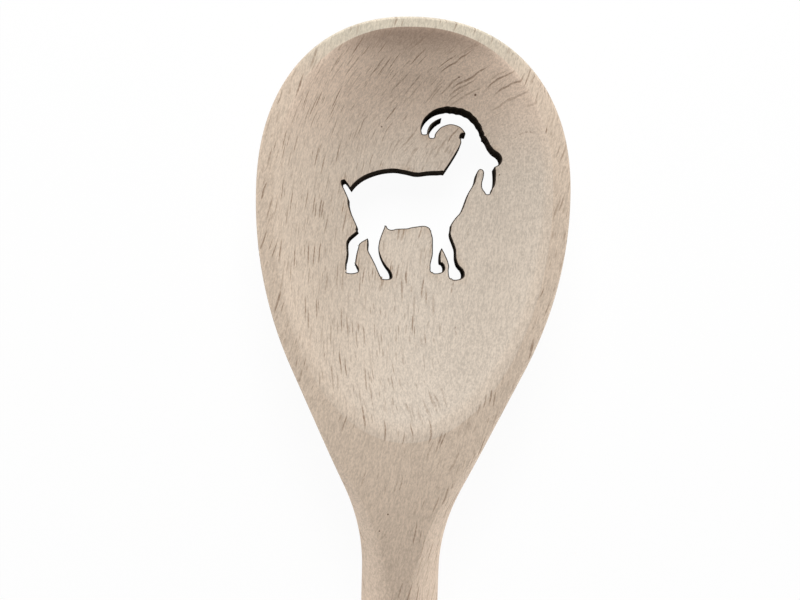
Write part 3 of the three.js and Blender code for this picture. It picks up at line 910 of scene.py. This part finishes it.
def char_material(finish, group):
    """The burnt walls: matt black with the grain just showing and fine streaks along the cut."""
    material, tree, surface = new_material("charred_cut")
    coordinates, grain = grain_of(tree, group)
    in_millimetres = vector_maths(tree, "DIVIDE", coordinates, (MM, MM, MM))
    streak = noise(tree, in_millimetres, STREAK_LUMPS)
    fibres, streaks = ramp(tree, grain["Fibre"], *CHAR_FIBRES), ramp(tree, streak, *CHAR_STREAKS)
    shown = maths(tree, "MULTIPLY", fibres, streaks)
    tree.links.new(mixed(tree, shown, finish.char, finish.char_grain), surface["Base Color"])
    tree.links.new(ramp(tree, streak, *CHAR_ROUGHNESS), surface["Roughness"])
    add_relief(tree, surface, streak, *CHAR_BUMP)
    surface["Specular IOR Level"].default_value = CHAR_SHINE
    return material


class SPOON_OT_carve(bpy.types.Operator):
    """Carve the spoon from its blank, mill the hollow and cut the goat"""

    bl_idname = "cooking_spoon.carve"
    bl_label = "Carve Spoon"

    def execute(self, context):
        settings = context.scene.cooking_spoon
        form = SpoonForm(settings.shape)
        grain = beech_grain_group(settings.finish)
        char = char_material(settings.finish, grain)
        spoon = blank_piece(form, beech_material("sanded_beech", settings.finish, grain, False))
        cut(spoon, hollow_cutter(form, beech_material("milled_beech", settings.finish, grain, True)))
        outlines = goat_outlines(settings.shape, settings.goat)
        for upper, lower in outlines:
            cut(spoon, goat_cutter(form, upper, lower, settings.goat.burnt_edge, char))
        mark_scorch(spoon, [upper for upper, lower in outlines], settings.finish.scorch_reach)
        mark_flecks(spoon)
        spoon.data.shade_smooth()
        spoon.data.set_sharp_from_angle(angle=SHARP_ANGLE)
        weighted = spoon.modifiers.new("Weighted normals", "WEIGHTED_NORMAL")
        weighted.keep_sharp = True
        apply_modifiers(spoon)
        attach(spoon, "root")
        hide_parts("spoon")
        return {"FINISHED"}


def aimed(place, target, up):
    """A matrix that looks from a place at a target, with the given direction upwards in the picture."""
    back = (place - target).normalized()
    right = up.cross(back).normalized()
    turn = Matrix((right, back.cross(right), back)).transposed()
    return Matrix.Translation(place) @ turn.to_4x4()


def add_lamp(name, power, target, azimuth, elevation, distance, size):
    """A square soft lamp in a compass direction from +Y towards +X, at an angle over the horizon, both in
    degrees."""
    azimuth, elevation = math.radians(azimuth), math.radians(elevation)
    light = bpy.data.lights.new(name, "AREA")
    light.energy = power
    light.size = size
    lamp = bpy.data.objects.new(name, light)
    bpy.context.scene.collection.objects.link(lamp)
    level = distance * math.cos(elevation)
    offset = Vector((level * math.sin(azimuth), level * math.cos(azimuth), distance * math.sin(elevation)))
    lamp.matrix_world = aimed(target + offset, target, Vector((0, 0, 1)))
    lamp.visible_camera = False


def white_to_camera(tree, shaded, strength, source="ShaderNodeEmission"):
    """Shows plain white to the camera, in reflections and through clear things, mixed over the shading."""
    path = tree.nodes.new("ShaderNodeLightPath").outputs
    seen = maths(tree, "MAXIMUM", path["Is Camera Ray"], path["Is Glossy Ray"])
    seen = maths(tree, "MAXIMUM", seen, path["Is Transmission Ray"])
    white = new_node(tree, source, {"Color": (1, 1, 1, 1), "Strength": 1.0})
    mix = new_node(tree, "ShaderNodeMixShader", {0: maths(tree, "MULTIPLY", seen, strength)})
    tree.links.new(shaded, mix.inputs[1])
    tree.links.new(white.outputs[0], mix.inputs[2])
    return mix.outputs[0]


def lay_floor(stage):
    """A large square under the spoon that looks white and keeps a faint shadow."""
    corners = FLOOR_REACH * np.array([(-1, -1, 0), (1, -1, 0), (1, 1, 0), (-1, 1, 0)])
    material = bpy.data.materials.new("pale_floor")
    tree, output = bare_tree(material, "ShaderNodeOutputMaterial")
    paint = new_node(tree, "ShaderNodeBsdfDiffuse", {"Color": (*stage.floor_colour, 1)})
    tree.links.new(white_to_camera(tree, paint.outputs[0], 1 - stage.floor_shadow), output)
    new_piece("floor", corners, [(0, 1, 2, 3)], material)


def light_world(stage):
    """A dim fill all round that the camera sees as white."""
    world = bpy.data.worlds.new("studio")
    tree, output = bare_tree(world, "ShaderNodeOutputWorld")
    fill = new_node(tree, "ShaderNodeBackground", {"Color": (1, 1, 1, 1), "Strength": stage.fill})
    tree.links.new(white_to_camera(tree, fill.outputs[0], 1.0, "ShaderNodeBackground"), output)
    bpy.context.scene.world = world


class SPOON_OT_stage(bpy.types.Operator):
    """Lay the floor, set the lamps and place the camera over the bowl"""

    bl_idname = "cooking_spoon.stage"
    bl_label = "Set Stage"

    def execute(self, context):
        stage = context.scene.cooking_spoon.stage
        lay_floor(stage)
        light_world(stage)
        rim = SPOON_HIGH.z
        for name, (setting, along, *setup) in LAMPS.items():
            add_lamp(name, getattr(stage, setting), Vector((0, along, rim)), *setup)
        lens = bpy.data.cameras.new("camera")
        lens.lens = stage.camera_lens
        lens.clip_start = CAMERA_NEAREST
        camera = bpy.data.objects.new("camera", lens)
        context.scene.collection.objects.link(camera)
        place = Vector((*CAMERA_PLACE, rim + stage.camera_height))
        camera.matrix_world = aimed(place, Vector((*CAMERA_TARGET, rim)), CAMERA_UP)
        context.scene.camera = camera
        context.scene.view_settings.view_transform = "Standard"
        return {"FINISHED"}


class VIEW3D_PT_cooking_spoon(bpy.types.Panel):
    """The spoon's sizes, colours and steps"""

    bl_label = "Cooking Spoon"
    bl_space_type = "VIEW_3D"
    bl_region_type = "UI"
    bl_category = "Spoon"

    def draw(self, context):
        settings = context.scene.cooking_spoon
        steps = {
            SPOON_OT_carve: (settings.shape, settings.goat, settings.finish),
            SPOON_OT_stage: (settings.stage,),
        }
        for step, groups in steps.items():
            box = self.layout.box()
            for group in groups:
                for name in group.__annotations__:
                    box.prop(group, name)
            box.operator(step.bl_idname)


CLASSES = [
    SpoonShape, GoatFigure, BeechFinish, StudioStage, SpoonSettings,
    SPOON_OT_carve, SPOON_OT_stage, VIEW3D_PT_cooking_spoon,
]


def register():
    for kind in CLASSES:
        bpy.utils.register_class(kind)
    bpy.types.Scene.cooking_spoon = bpy.props.PointerProperty(type=SpoonSettings)


def unregister():
    del bpy.types.Scene.cooking_spoon
    for kind in reversed(CLASSES):
        bpy.utils.unregister_class(kind)


def main():
    register()
    bpy.ops.cooking_spoon.carve()
    bpy.ops.cooking_spoon.stage()


if __name__ == "__main__":
    main()
